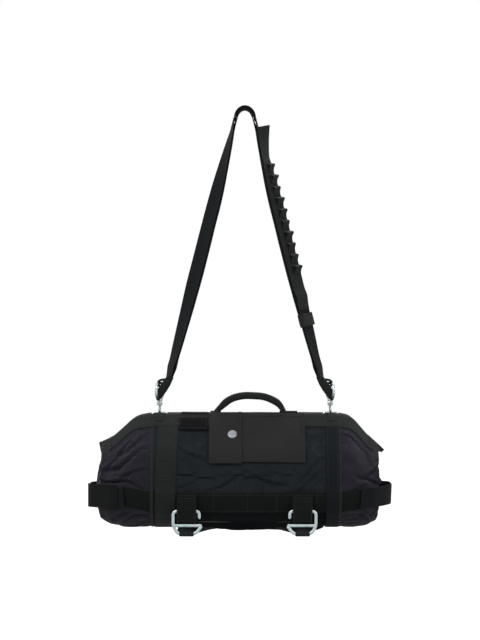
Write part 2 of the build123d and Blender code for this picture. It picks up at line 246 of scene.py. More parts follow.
def effectPaint(name, group, vector, values, distance, strength):
    # a material whose colour, roughness and height come from one effect
    paint, tree, shader = newPaint(name)
    kind, label = vector
    source = addNode(tree, kind, uv_map="UVMap").outputs[label]
    effect = addNode(tree, "ShaderNodeGroup", [(0, source), *values], node_tree=group)
    tree.links.new(effect.outputs["Color"], shader.inputs["Base Color"])
    tree.links.new(effect.outputs["Roughness"], shader.inputs["Roughness"])
    bumpFrom(tree, shader, effect.outputs["Height"], distance, strength)
    return paint, shader


ribs, weave, scuffs = makeRibGroup(), makeWeaveGroup(), makeScuffGroup()

# effect, pitch, dark and light threads, bump, sheen, gloss, shine
clothFinishes = {
    "webbing": (ribs, 0.0022, (0.0027, 0.0032, 0.0032), (0.0135, 0.0153, 0.0153), 0.0007, 0.25, None, 0.045),
    "strapWebbing": (ribs, 0.0022, (0.0019, 0.0024, 0.0029), (0.0085, 0.0104, 0.012), 0.0007, 0.1, None, 0.03),
    "bandWebbing": (ribs, 0.003, (0.0045, 0.0059, 0.0054), (0.0162, 0.0189, 0.018), 0.0008, 0.2, None, 0.045),
    # the low webbing is the plain webbing darkened for the pieces low on the bag: painted shade of the lower half,
    # which faces away from the light
    "shadedLowWebbing": (ribs, 0.0026, (0.0015, 0.0019, 0.0019), (0.0082, 0.0096, 0.0092), 0.0008, 0.1, None, 0.02),
    "centreCloth": (weave, 0.0011, (0.0031, 0.0045, 0.006), (0.0101, 0.0135, 0.0169), 0.0009, 0.08, 0.75, 0.07),
    "baseCloth": (weave, 0.0011, (0.0034, 0.0039, 0.0043), (0.01, 0.011, 0.0118), 0.0009, 0.0, 0.1, 0.01),
    "endCloth": (weave, 0.0011, (0.0063, 0.0059, 0.0095), (0.018, 0.0166, 0.0248), 0.001, 0.3, 0.3, 0.045),
    "pocketCloth": (weave, 0.0016, (0.0077, 0.0077, 0.0079), (0.0203, 0.0198, 0.0203), 0.0005, 0.3, 0.05,
                    0.045),
    "patchCloth": (weave, 0.0013, (0.0018, 0.0018, 0.0022), (0.006, 0.006, 0.007), 0.0005, 0.1, 0.1, 0.03),
    "zipCloth": (ribs, 0.0014, (0.0018, 0.0018, 0.0023), (0.009, 0.009, 0.0099), 0.0004, 0.15, None, 0.045),
    "thread": (ribs, 0.0006, (0.0054, 0.0059, 0.0059), (0.027, 0.0279, 0.0279), 0.0001, 0.2, None, 0.045),
}


def makeCloth(name):
    group, pitch, base, light, bump, sheen, gloss, shine = clothFinishes[name]
    values = [("Pitch", pitch), ("Base", (*base, 1)), ("Light", (*light, 1))]
    if gloss is not None:
        values.append(("Gloss", gloss))
    paint, shader = effectPaint(name, group, ("ShaderNodeUVMap", "UV"), values, bump, 0.8)
    shader.inputs["Sheen Weight"].default_value = sheen * 0.18
    shader.inputs["Sheen Roughness"].default_value = 0.5
    shader.inputs["Specular IOR Level"].default_value = shine
    return paint


# metal, film, roughness
metalFinishes = {
    "hookMetal": ((0.5, 0.55, 0.56), (0.24, 0.28, 0.29), 0.18),
    "buckleMetal": ((0.46, 0.54, 0.55), (0.3, 0.37, 0.38), 0.32),
    "snapMetal": ((0.3, 0.32, 0.34), (0.12, 0.13, 0.15), 0.22),
    "darkMetal": ((0.05, 0.05, 0.055), (0.02, 0.02, 0.02), 0.35),
}


def makeMetal(name):
    base, film, rough = metalFinishes[name]
    values = [("Base", (*base, 1)), ("Film", (*film, 1)), ("Rough", rough)]
    paint, shader = effectPaint(name, scuffs, ("ShaderNodeTexCoord", "Object"), values, 0.00006, 0.5)
    shader.inputs["Metallic"].default_value = 1.0
    return paint


paints = {name: makeCloth(name) for name in clothFinishes}
paints.update({name: makeMetal(name) for name in metalFinishes})
print("finishes ready")

# the bag's surface, in millimetres until it is placed

bagShape = {
    "halfCentre": 177, "leftReach": 95, "rightReach": 76, "halfDepth": 105,
    "top": -582, "bottom": -800, "valley": 19,
    "taper": ((0.0, 1.0, 0, 0), (0.34, 0.98, 6, 1), (0.74, 0.84, 43, 9), (1.0, 0.62, 61, 20)),
    "stations": 351, "around": 401,
}


def easedCorners(corners, reach, share, turns):
    # each corner of a polyline eased by up to reach, or by a share of its shorter side
    line = []
    for before, here, after in zip(corners, corners[1:], corners[2:]):
        back, ahead = before - here, after - here
        backSize, aheadSize = np.linalg.norm(back), np.linalg.norm(ahead)
        ease = min(reach, share * backSize, share * aheadSize)
        start, end = here + back / backSize * ease, here + ahead / aheadSize * ease
        line += [(1 - t) ** 2 * start + 2 * t * (1 - t) * here + t * t * end for t in np.linspace(0, 1, turns)]
    return line


def runLength(line):
    return np.concatenate([[0], np.cumsum(np.linalg.norm(np.diff(line, axis=0), axis=1))])


def halfOutline(depth, top, bottom, valley):
    height = top - bottom
    corners = np.array([
        (-0.10 * depth, top - valley), (0.10 * depth, top - valley), (0.25 * depth, top),
        (0.54 * depth, top - 0.125 * height), (depth, top - 0.40 * height), (depth, bottom + 0.22 * height),
        (0.50 * depth, bottom), (-0.50 * depth, bottom)])
    line = np.array([(0.0, top - valley), *easedCorners(corners, 1e9, 0.42, 9), (0.0, bottom)])
    return line, runLength(line)


def buildTable():
    shape = bagShape
    low, high = -shape["halfCentre"] - shape["leftReach"], shape["halfCentre"] + shape["rightReach"]
    xs = np.linspace(low, high, shape["stations"])
    taper = np.array(shape["taper"])
    half = (shape["around"] + 1) // 2
    ys, zs, lengths = [], [], []
    for x in xs:
        reach = shape["leftReach"] if x < 0 else shape["rightReach"]
        along = (abs(x) - shape["halfCentre"]) / reach
        spread = np.clip(along + np.linspace(-0.12, 0.12, 7), 0, 1)
        deep, drop, rise = [np.interp(spread, taper[:, 0], taper[:, k]).mean() for k in (1, 2, 3)]
        valley = shape["valley"] * (1 - 0.6 * max(0, min(1, along)))
        top, bottom = shape["top"] - drop, shape["bottom"] + rise
        line, steps = halfOutline(shape["halfDepth"] * deep, top, bottom, valley)
        spots = np.linspace(0, steps[-1], half)
        y, z = np.interp(spots, steps, line[:, 0]), np.interp(spots, steps, line[:, 1])
        ys.append(np.concatenate([-y, y[-2::-1]]))
        zs.append(np.concatenate([z, z[-2::-1]]))
        lengths.append(2 * steps[-1])
    return xs, np.array(ys), np.array(zs), np.array(lengths)


tableX, tableY, tableZ, tableLength = buildTable()


def lookUp(table, x, s):
    column = np.clip((x - tableX[0]) / (tableX[1] - tableX[0]), 0, len(tableX) - 1.001)
    row = np.clip(s, 0, 1) * (table.shape[1] - 1.001)
    i, j = column.astype(int), row.astype(int)
    a, b = column - i, row - j
    return ((1 - a) * (1 - b) * table[i, j] + a * (1 - b) * table[i + 1, j]
            + (1 - a) * b * table[i, j + 1] + a * b * table[i + 1, j + 1])


def bagPoint(x, s, lift=0.0):
    x, s = np.broadcast_arrays(np.asarray(x, float), np.asarray(s, float))
    place = np.stack([x, lookUp(tableY, x, s), lookUp(tableZ, x, s)], -1)
    sides = []
    for dx, ds in ((2.0, 0.0), (0.0, 0.004)):
        low = np.stack([x - dx, lookUp(tableY, x - dx, s - ds), lookUp(tableZ, x - dx, s - ds)], -1)
        high = np.stack([x + dx, lookUp(tableY, x + dx, s + ds), lookUp(tableZ, x + dx, s + ds)], -1)
        sides.append(high - low)
    out = np.cross(sides[1], sides[0])
    out /= np.linalg.norm(out, axis=-1, keepdims=True) + 1e-9
    return place + out * np.asarray(lift)[..., None]


def rowAt(x):
    i = int(np.clip(round((x - tableX[0]) / (tableX[1] - tableX[0])), 0, len(tableX) - 1))
    half = (tableY.shape[1] + 1) // 2
    return -tableY[i, :half], tableZ[i, :half], np.linspace(0, 0.5, half)


def shareAtDepth(x, y):
    depth, _, share = rowAt(x)
    widest = int(depth.argmax())
    return float(np.interp(y, depth[:widest + 1], share[:widest + 1]))


def shareAtHeight(x, z):
    _, height, share = rowAt(x)
    ridge = int(height.argmax())
    return float(np.interp(-z, -height[ridge:], share[ridge:]))


# making and finishing meshes


def finishPiece(obj, name, body, paint, replaces=()):
    obj.name = name
    obj.data.name = name
    if paint:
        obj.data.materials.clear()
        obj.data.materials.append(paints[paint])
    if body:
        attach(obj, body)
    if replaces:
        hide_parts(*replaces)
    return obj


def applyModifier(obj, kind, **values):
    takeOnly(obj)
    modifier = obj.modifiers.new(kind.lower(), kind)
    for key, value in values.items():
        setattr(modifier, key, value)
    bpy.ops.object.modifier_apply(modifier=modifier.name)


def readPoints(obj):
    points = np.empty(len(obj.data.vertices) * 3)
    obj.data.vertices.foreach_get("co", points)
    return points.reshape(-1, 3)


def writePoints(obj, points):
    obj.data.vertices.foreach_set("co", points.ravel())


def smoothSkin(obj, fill=False):
    takeOnly(obj)
    bpy.ops.object.mode_set(mode="EDIT")
    bpy.ops.mesh.select_all(action="SELECT")
    if fill:
        bpy.ops.mesh.fill_holes(sides=0)
        bpy.ops.mesh.select_all(action="SELECT")
    bpy.ops.mesh.normals_make_consistent(inside=False)
    bpy.ops.object.mode_set(mode="OBJECT")
    bpy.ops.object.shade_smooth_by_angle(angle=radians(40))


def weld(obj, gap=0.00002, fill=True):
    # closes a tube along its seam and, when asked, over its ends
    applyModifier(obj, "WELD", merge_threshold=gap)
    if fill:
        smoothSkin(obj, True)
    return obj


def onPath(path, u):
    # the point a share u of the way along an evenly spaced path
    t = np.linspace(0, 1, len(path))
    return np.stack([np.interp(u, t, path[:, k]) for k in range(path.shape[1])], -1)


def aheadOn(path, u, step=0.012):
    ahead = onPath(path, u + step) - onPath(path, u - step)
    return ahead / np.linalg.norm(ahead, axis=1, keepdims=True)


def squareRound(share, powerA, powerB):
    # cosine and sine of a full turn, pushed out towards a square: more for a smaller power
    angle = 2 * pi * share
    return [np.sign(f) * np.abs(f) ** p for f, p in ((np.cos(angle), powerA), (np.sin(angle), powerB))]


def inYZ(x, line):
    return np.stack([np.full(len(line), float(x)), line[:, 0], line[:, 1]], -1)


def inXZ(y, line, x=0, side=1):
    return np.stack([x + side * line[:, 0], np.full(len(line), float(y)), line[:, 1]], -1)


def makeGrid(name, columns, rows, place, uvPlace=None):
    # a grid whose point (u, v), each 0 to 1, goes to place(u, v) in millimetres; the UV map is in metres
    deselectAll()
    bpy.ops.mesh.primitive_grid_add(x_subdivisions=columns, y_subdivisions=rows, size=1)
    obj = bpy.context.object
    obj.name = name
    mesh = obj.data
    u, v, _ = np.round(readPoints(obj) + 0.5, 6).T
    writePoints(obj, place(u, v) * 0.001)
    if uvPlace is None:
        t, middle = np.linspace(0, 1, 60), np.full(60, 0.5)
        longway, across = [np.linalg.norm(np.diff(line, axis=0), axis=1).sum() * 0.001
                           for line in (place(t, middle), place(middle, t))]
        flat = np.stack([u * longway, v * across], -1)
    else:
        flat = uvPlace(u, v)
    mapCorners(mesh, flat, mesh.uv_layers.active or mesh.uv_layers.new(name="UVMap"))
    mesh.update()
    return obj


def mapCorners(mesh, flat, layer):
    corners = np.empty(len(mesh.loops), int)
    mesh.loops.foreach_get("vertex_index", corners)
    layer.name = "UVMap"
    layer.data.foreach_set("uv", flat[corners].ravel())


def thicken(obj, thickness, bevel=0.0004):
    applyModifier(obj, "SOLIDIFY", thickness=thickness * 0.001, offset=0)
    if bevel:
        applyModifier(obj, "BEVEL", width=bevel, segments=1, limit_method="ANGLE", angle_limit=radians(50))
    smoothSkin(obj)


def sheet(name, columns, rows, place, thickness, body, paint="webbing", replaces=()):
    obj = makeGrid(name, columns, rows, place)
    thicken(obj, thickness)
    return finishPiece(obj, name, body, paint, replaces)


def wave(x, y, seed):
    # smooth wandering between -1 and 1, the same on every run
    total = 0
    for k, (a, b) in enumerate(((1.0, 0.6), (-0.7, 1.3), (1.7, -0.9), (0.4, 2.1))):
        total = total + np.sin(a * x + b * y + seed * (k + 1) * 1.7) / (1 + 0.5 * k)
    return total / 2.6


def bagStrip(name, low, high, share, lift, thickness, body="bag", paint="webbing", replaces=(),
             columns=None, rows=10, ripple=0.25):
    # a flat strip on the bag from x = low to high; share(x) gives its two edges round the section
    columns = columns or max(8, int(abs(high - low) / 4))
    stops = np.linspace(low, high, columns + 1)
    edges = np.array([share(x) for x in stops])

    def place(u, v):
        x = low + (high - low) * u
        first, last = np.interp(x, stops, edges[:, 0]), np.interp(x, stops, edges[:, 1])
        s = first + (last - first) * v
        return bagPoint(x, s, lift + thickness / 2 + ripple * wave(x * 0.09, s * 60, len(name)))

    return sheet(name, columns, rows, place, thickness, body, paint, replaces)


def makeStitches(name, spots, body, paint="thread", size=(1.5, 0.55, 0.4)):
    # many short threads in one mesh: each spot is (place, direction, outward) in millimetres
    deselectAll()
    bpy.ops.mesh.primitive_uv_sphere_add(segments=6, ring_count=4, radius=1)
    seed = bpy.context.object
    base = np.array([tuple(vertex.co) for vertex in seed.data.vertices])
    faces = [tuple(face.vertices) for face in seed.data.polygons]
    bpy.data.objects.remove(seed)
    points, polygons = [], []
    for place, direction, outward in spots:
        along = Vector(direction).normalized()
        out = Vector(outward).normalized()
        side = out.cross(along).normalized()
        turn = np.array([tuple(along), tuple(side), tuple(out)])
        first = len(points) * len(base)
        points.append((base * np.array(size)) @ turn + np.array(place))
        polygons += [tuple(k + first for k in face) for face in faces]
    mesh = bpy.data.meshes.new(name)
    mesh.from_pydata((np.concatenate(points) * 0.001).tolist(), [], polygons)
    mapCorners(mesh, np.concatenate(points)[:, [0, 2]] * 0.001, mesh.uv_layers.new(name="UVMap"))
    obj = bpy.data.objects.new(name, mesh)
    bpy.context.scene.collection.objects.link(obj)
    mesh.shade_smooth()
    return finishPiece(obj, name, body, paint)


def seamRow(start, end, pitch, lift):
    # stitches on the bag from (x, share) to (x, share)
    ends = bagPoint(np.array([start[0], end[0]]), np.array([start[1], end[1]]))
    count = max(2, int(np.linalg.norm(ends[1] - ends[0]) / pitch))
    t = np.linspace(0, 1, count + 1)
    x = start[0] + (end[0] - start[0]) * t
    s = start[1] + (end[1] - start[1]) * t
    points, raised = bagPoint(x, s, lift), bagPoint(x, s, lift + 1)
    return [(points[k], points[k + 1] - points[k], raised[k] - points[k]) for k in range(count)]


# the fabric shell

shellLook = {"columns": 210, "rows": 150, "skin": 1.6, "capRings": (0.985, 0.93, 0.82, 0.66, 0.46, 0.24, 0.0),
             "capBulge": 4.0, "frames": 20, "cap": 9.0, "growth": -0.05}


def shellPlace(u, v):
    rings = len(shellLook["capRings"])
    share = rings / (shellLook["columns"])
    inner = np.clip((u - share) / (1 - 2 * share), 0, 1)
    x = tableX[0] + (tableX[-1] - tableX[0]) * inner
    points = bagPoint(x, v, -shellLook["skin"] / 2)
    depth = np.maximum(0, np.maximum(share - u, u - 1 + share)) / share * rings
    scale = np.interp(depth, np.arange(rings + 1), (1.0, *shellLook["capRings"]))
    centre = np.where(u < 0.5, tableZ[0].mean(), tableZ[-1].mean())
    points[:, 1] *= scale
    points[:, 2] = centre + (points[:, 2] - centre) * scale
    side = np.where(u < 0.5, -1, 1)
    points[:, 0] += side * shellLook["capBulge"] * np.sqrt(np.clip(1 - scale ** 2, 0, 1))
    return points


def heldShare(points):
    # 1 where straps, bands, seams and the pocket hold the cloth, 0 where it is free
    x, y, z = points[:, 0], np.abs(points[:, 1]), points[:, 2]

    def zone(value, low, high, soft=5.0):
        return np.clip((value - low) / soft + 1, 0, 1) * np.clip((high - value) / soft + 1, 0, 1)

    front = points[:, 1] < 0
    top = zone(y, -100, 58) * zone(z, -672, -500)
    low = zone(z, -769, -731) * zone(x, -232, 222)
    girths = np.maximum(zone(x, -178, -132), zone(x, 153, 178)) * zone(z, -830, -600)
    pocket = zone(x, -68, 114) * zone(z, -680, -600) * front
    return np.clip(np.maximum.reduce([top, low, girths, pocket]), 0, 1)


# which cloth, middle of the crease in x, its height there, slope, reach, depth and width
creases = (
    ("left", -225, -652, 0.62, 34, 5.0, 4.0), ("left", -232, -676, 0.55, 38, 6.5, 4.5),
    ("left", -245, -668, 0.95, 20, 4.0, 3.5), ("left", -222, -700, 0.35, 30, 4.5, 4.0),
    ("left", -238, -712, -0.10, 34, 6.0, 4.0), ("left", -205, -716, -0.45, 20, 3.5, 3.5),
    ("left", -256, -690, 0.25, 18, 5.0, 4.0), ("left", -222, -782, 0.30, 30, 4.0, 5.0),
    ("right", 238, -664, -0.9, 22, 4.0, 4.0), ("right", 244, -690, 0.5, 18, 5.0, 4.5),
    ("right", 236, -712, -0.4, 24, 4.5, 4.0), ("right", 212, -724, 0.25, 22, 3.0, 3.5),
    ("right", 246, -728, 0.8, 12, 4.0, 3.5), ("right", 225, -780, -0.5, 26, 4.0, 5.0),
    ("middle", -20, -700, 0.015, 170, 1.1, 2.0), ("middle", 135, -680, 0.9, 30, 2.0, 5.0),
    ("middle", 120, -712, 0.7, 28, 1.8, 4.0), ("middle", -100, -660, -0.5, 26, 1.6, 5.0),
    ("middle", -40, -715, 0.5, 34, 1.4, 5.0), ("middle", 40, -708, -0.35, 40, 1.6, 5.0),
    ("middle", -112, -716, 0.3, 22, 1.4, 4.0),
)


def foldField(points):
    # the creases and swells that the cloth has before it settles
    x, y, z = points.T
    left, right = np.clip((-179 - x) / 22, 0, 1), np.clip((x - 179) / 22, 0, 1)
    middle = np.clip((176 - np.abs(x)) / 20, 0, 1)
    total = left * 2.2 * wave(x * 0.05, z * 0.045 + y * 0.03, 3.0)
    total += right * 2.6 * wave(x * 0.05, z * 0.05 - y * 0.03, 6.0)
    total += middle * 0.8 * wave(x * 0.03 + z * 0.02, z * 0.045 - x * 0.012, 5.0)
    total += np.clip((-770 - z) / 10, 0, 1) * wave(x * 0.05, y * 0.05, 9.0) * 1.6
    for share, centre, height, slope, reach, depth, wide in creases:
        face = {"left": left, "right": right, "middle": middle}[share]
        line = height + slope * (x - centre) + 3 * np.sin(x * 0.07 + height)
        near = np.exp(-((x - centre) / reach) ** 2)
        gap = (z - line) / wide
        total += face * near * depth * (0.45 * np.exp(-((gap - 1.6) / 1.1) ** 2) - np.exp(-gap ** 2))
    return total


clothRules = {
    "quality": 5, "mass": 0.3, "tension_stiffness": 20, "compression_stiffness": 20, "shear_stiffness": 8,
    "bending_stiffness": 1.2, "vertex_group_mass": "held", "pin_stiffness": 1, "use_pressure": True,
    "uniform_pressure_force": 0.6, "shrink_min": shellLook["growth"],
}


def settleCloth(obj, held):
    group = obj.vertex_groups.new(name="held")
    for index, weight in enumerate(held):
        group.add([index], float(weight), "REPLACE")
    rest = readPoints(obj)
    takeOnly(obj)
    cloth = obj.modifiers.new("cloth", "CLOTH")
    for key, value in clothRules.items():
        setattr(cloth.settings, key, value)
    cloth.settings.effector_weights.gravity = 0
    cloth.collision_settings.use_collision = False
    cloth.point_cache.frame_start, cloth.point_cache.frame_end = 1, shellLook["frames"]
    for frameNumber in range(1, shellLook["frames"] + 1):
        bpy.context.scene.frame_set(frameNumber)
    bpy.ops.object.modifier_apply(modifier=cloth.name)
    step = (readPoints(obj) - rest) * 1000
    size = np.linalg.norm(step, axis=1, keepdims=True)
    step *= np.minimum(1, shellLook["cap"] / (size + 1e-9)) * (1 - held[:, None])
    writePoints(obj, rest + step * 0.001)
    obj.vertex_groups.clear()
    bpy.context.scene.frame_set(1)


def makeShell():
    def uvPlace(u, v):
        return np.stack([u * (tableX[-1] - tableX[0]) * 0.001, v * tableLength.max() * 0.001], -1)

    obj = makeGrid("bagShell", shellLook["columns"], shellLook["rows"], shellPlace, uvPlace)
    points = readPoints(obj) * 1000
    push = foldField(points) * (1 - heldShare(points))
    out = points - np.array([0, 0, -700])
    out[:, 0] = np.where(np.abs(points[:, 0]) > 200, points[:, 0] - np.sign(points[:, 0]) * 200, 0) * 1.5
    out /= np.linalg.norm(out, axis=1, keepdims=True) + 1e-9
    writePoints(obj, (points + out * push[:, None]) * 0.001)
    work = bmesh.new()
    work.from_mesh(obj.data)
    bmesh.ops.remove_doubles(work, verts=work.verts, dist=0.00005)
    work.to_mesh(obj.data)
    work.free()
    settleCloth(obj, heldShare(readPoints(obj) * 1000))
    return obj


shellRegions = {
    "frontPanel": ("centreCloth", "centre_cloth", "front_panel",
                   lambda x, y, z: abs(x) < 177 and z > -750 and y < 0),
    "backPanel": ("centreCloth", "centre_cloth", "back_panel",
                  lambda x, y, z: abs(x) < 177 and z > -750 and y >= 0),
    "basePanel": ("baseCloth", "base_cloth", "base_panel", lambda x, y, z: abs(x) < 177 and z <= -750),
    "leftEnd": ("endCloth", "end_cloth", "left_end_panel", lambda x, y, z: x <= -177),
    "rightEnd": ("endCloth", "end_cloth", "right_end_panel", lambda x, y, z: x >= 177),
}


def splitShell(shell):
    for name, (paint, slot, node, inside) in shellRegions.items():
        mesh = shell.data.copy()
        piece = bpy.data.objects.new(name, mesh)
        bpy.context.scene.collection.objects.link(piece)
        work = bmesh.new()
        work.from_mesh(mesh)
        far = [face for face in work.faces if not inside(*(face.calc_center_median() * 1000))]
        bmesh.ops.delete(work, geom=far, context="FACES")
        work.to_mesh(mesh)
        work.free()
        thicken(piece, shellLook["skin"], 0)
        finishPiece(piece, name, "bag", paint, (node,))
    bpy.data.objects.remove(shell)


splitShell(makeShell())
print("shell ready")

# webbing sewn to the shell

webbingLook = {"layer": 1.8, "bandEdge": 20, "bandArc": 46, "bandStart": -258, "bandEnd": 240,
               "lowBand": (-769, -731), "lowStart": -232, "lowEnd": 222, "girthLeft": -150, "girthRight": 165}


def lengthAt(x):
    return float(np.interp(x, tableX, tableLength))


def bandShare(x):
    narrow = 1 - 0.35 * min(1, max(0, (abs(x) - 190) / 80))
    low = shareAtDepth(x, webbingLook["bandEdge"] * narrow)
    return low, low + webbingLook["bandArc"] * (0.6 + 0.4 * narrow) / lengthAt(x)


def mirrored(share):
    return lambda x: tuple(1 - s for s in share(x))


def lowShift(x):
    return 12 * min(1, max(0, (-165 - x) / 65)) + 7 * min(1, max(0, (x - 165) / 55))


def lowBandShare(x):
    low, high = webbingLook["lowBand"]
    return shareAtHeight(x, high + lowShift(x)), shareAtHeight(x, low + lowShift(x))


def loftGrid(name, edgeA, edgeB, thickness, body, paint, replaces, belly):
    # a sheet between two edges, each a function of v giving a point in millimetres
    def place(u, v):
        a, b = edgeA(v), edgeB(v)
        points = a + (b - a) * u[:, None]
        points[:, 1] += np.sign(points[:, 1]) * belly * np.sin(pi * u)
        return points

    return sheet(name, 16, 10, place, thickness, body, paint, replaces)


def roundedPath(corners, reach):
    # a polyline in a plane with its corners eased by up to reach, evenly spaced
    corners = [np.array(c, float) for c in corners]
    line = np.array([corners[0], *easedCorners(corners, reach, 0.48, 8), corners[-1]])
    steps = runLength(line)
    spots = np.linspace(0, steps[-1], 121)
    return np.stack([np.interp(spots, steps, line[:, k]) for k in range(line.shape[1])], -1)


def ribbonPiece(name, path, acrossLow, acrossHigh, thickness, body, paint="webbing",
                replaces=(), rows=8, columns=60, sway=0.0):
    # webbing that follows a path of 3-D points; acrossLow and acrossHigh are offsets to its two edges
    acrossLow, acrossHigh = np.array(acrossLow, float), np.array(acrossHigh, float)

    def place(u, v):
        offset = acrossLow + (acrossHigh - acrossLow) * v[:, None]
        return onPath(path, u) + offset + sway * wave(u * 9, v * 2, len(name))[:, None] * 0.4

    return sheet(name, columns, rows, place, thickness, body, paint, replaces)


def makeBands():
    w = webbingLook
    for side, high, low in (("Front", bandShare, lowBandShare),
                            ("Back", mirrored(bandShare), mirrored(lowBandShare))):
        for name, share, rows in (("edge", high, 12), ("lower", low, 10)):
            start, end = (w["bandStart"], w["bandEnd"]) if name == "edge" else (w["lowStart"], w["lowEnd"])
            # the lower bands take the darkened low webbing: painted shade
            bagStrip(name + "Band" + side, start, end, share, 0.1, w["layer"],
                     paint="bandWebbing" if name == "edge" else "shadedLowWebbing",
                     replaces=(name + "_band_" + side.lower(),), columns=140, rows=rows)
    for name, node, x, tip in (("leftTab", "left_end_tab", w["bandStart"] + 4, ((-280, -641), (-276, -661))),
                               ("rightTab", "right_end_tab", w["bandEnd"] - 4, ((268, -655), (262, -660)))):
        for side, share, y in (("Front", bandShare, -1.3), ("Back", mirrored(bandShare), 1.3)):
            first, last = share(x)
            tipHigh, tipLow = (np.array((a, y, b)) for a, b in tip)
            loftGrid(name + side, lambda v: bagPoint(x, first + (last - first) * v, 1.9),
                     lambda v: tipHigh + (tipLow - tipHigh) * v[:, None], w["layer"], "bag", "bandWebbing",
                     (node,), belly=3.0)


def girthPiece(name, centre, width, replaces, skew=0.0, lift=0.15, thickness=1.8, paint="webbing"):
    first = shareAtDepth(centre, 56)

    def place(u, v):
        s = first + (1 - 2 * first) * u
        middle = centre + skew * (1 - 2 * np.abs(u - 0.5)) * 2 - skew
        x = middle + (v - 0.5) * width
        height = lookUp(tableZ, x, s)
        over = np.clip((height + 778) / 6, 0, 1) * np.clip((-722 - height) / 6, 0, 1)
        return bagPoint(x, s, lift + thickness / 2 + 2.0 * over + 0.2 * wave(s * 40, x * 0.2, centre))

    return sheet(name, 150, 8, place, thickness, "bag", paint, replaces=replaces)


def makeGirths():
    girthPiece("girthLeft", webbingLook["girthLeft"], 38, ("girth_strap_left",), skew=-4)
    girthPiece("girthRight", webbingLook["girthRight"], 24, ("girth_strap_right",), paint="strapWebbing")
    for name, x in (("seamLeft", -176), ("seamRight", 179)):
        girthPiece(name, x, 6, (), thickness=1.0, paint="bandWebbing", lift=0.1)
    rows = []
    for z in (-660, -668, -676, -690, -698, -706):
        s = shareAtHeight(-151, z)
        rows += seamRow((-164, s), (-134, s), 3.2, 2.3)
    for x in (-167.5, -132.5):
        rows += seamRow((x + 4, shareAtHeight(x, -612)), (x - 2, shareAtHeight(x, -728)), 3.4, 2.3)
    for x, lift in ((-176, 1.4), (179, 1.4), (156, 2.1), (174, 2.1)):
        rows += seamRow((x, shareAtHeight(x, -616)), (x, shareAtHeight(x, -728)), 3.4, lift)
    makeStitches("girthStitches", rows, "bag")


def makeBandStitches():
    rows = []
    for step in (0.07, 0.93):
        last = None
        for x in np.arange(-256, 240, 14.0):
            low, high = bandShare(x)
            here = (x, low + (high - low) * step)
            if last:
                rows += seamRow(last, here, 3.5, 2.0)
            last = here
    for x in (-131, -93, 4, 89, 127, 135, -60, 60):
        rows += seamRow((x, lowBandShare(x)[0] + 0.004), (x, lowBandShare(x)[1] - 0.004), 3.2, 2.1)
    for z in (-735, -765):
        rows += seamRow((-128, shareAtHeight(0, z)), (150, shareAtHeight(0, z)), 3.5, 2.1)
    makeStitches("bandStitches", rows, "bag")


# side, reach, start and rise of each loop
grabLook = {"left": (-1, 296, 228, 12), "right": (1, 278, 218, 13), "half": 18.5, "thick": 1.9}


def makeGrabLoops():
    look, half = grabLook, grabLook["half"]
    for name in ("left", "right"):
        side, reach, begin, rise = look[name]
        corners = [(begin, -101), (begin + 22, -99), (reach, -57), (reach, 57), (begin + 22, 99), (begin, 101)]
        flat = roundedPath([(side * x, y) for x, y in corners], 30)
        lift = np.interp(np.abs(flat[:, 0]), (begin, reach), (8, rise))
        path = np.stack([flat[:, 0], flat[:, 1], -750 + lift], -1)
        ribbonPiece(name + "Grab", path, (0, 0, -half), (side * 1.5, 0, half), look["thick"], "bag", "strapWebbing",
                    replaces=(name + "_grab_loop",), columns=110, sway=0.8)
        if name == "left":
            line = roundedPath([(-240, -102.6), (-250, -101.5), (-297.6, -60), (-297.6, -30)], 28) - (0.3, 0.6)
            path = np.stack([line[:, 0], line[:, 1], np.full(len(line), -738.5)], -1)
            # the sleeve takes the darkened low webbing: painted shade
            ribbonPiece("leftSleeve", path, (0, 0, -22), (0, 0, 22), 1.8, "bag", "shadedLowWebbing",
                        replaces=("left_loop_sleeve",), columns=50)


hangLook = {"leftBuckle": -110, "rightBuckle": 108, "y": -111, "bottom": -808, "half": 18.5, "top": -765,
            "cross": -793, "frameHalf": 25, "railWide": 7.4, "railThick": 4.6,
            "rear": -107.3, "front": -114.9, "seam": -109.4}


def sweptBar(name, path, wide, thick):
    # a pressed bar along a path in an XZ plane, its section a rounded rectangle, its ends closed
    def place(u, v):
        middle = onPath(path, u)
        side = np.cross(aheadOn(path, u), np.array([0.0, 1.0, 0.0]))
        a, b = squareRound(v, 0.55, 0.55)
        fade = np.sqrt(np.clip(np.minimum(u, 1 - u) / 0.015, 0, 1)) * 0.999 + 0.001
        middle = middle + side * (a * wide / 2 * fade)[:, None]
        middle[:, 1] += b * thick / 2 * fade
        return middle

    bar = weld(makeGrid(name, 120, 28, place), fill=False)
    smoothSkin(bar)
    return bar


def makeBuckle(name, x):
    look = hangLook
    half, top, cross, bottom = look["frameHalf"], look["top"], look["cross"], look["bottom"]
    side = 1 if x < 0 else -1
    corners = [(half - 1, top - 15), (half - 1, top), (-half, top), (-half, cross - 1), (9 - half, bottom),
               (half - 8, bottom), (half + 4, cross + 1)]
    frameBar = sweptBar(name + "BuckleFrame", inXZ(look["y"], roundedPath(corners, 8), x, side),
                        look["railWide"] - 1.4, look["railThick"])
    line = np.array([(x + side * a, look["y"], cross + 1) for a in (1 - half, 0, half + 4)])
    crossBar = sweptBar(name + "BuckleCross", line, look["railWide"] - 1.8, look["railThick"] - 0.2)
    finishPiece(joinPieces(frameBar, crossBar), name + "HookBuckle", name + "_buckle", "buckleMetal",
                (name + "_hook_buckle",))


def tubeRing(name, x, y, z, radius, half, body, replaces):
    def place(u, v):
        angle, bow = 2 * pi * u, radius * (1 - 0.05 * (2 * v - 1) ** 2)
        return np.stack([x + (v - 0.5) * 2 * half, y + bow * np.cos(angle), z + bow * np.sin(angle)], -1)

    obj = weld(makeGrid(name, 28, 8, place), 0.0001, False)
    thicken(obj, 1.6)
    return finishPiece(obj, name, body, "webbing", replaces)


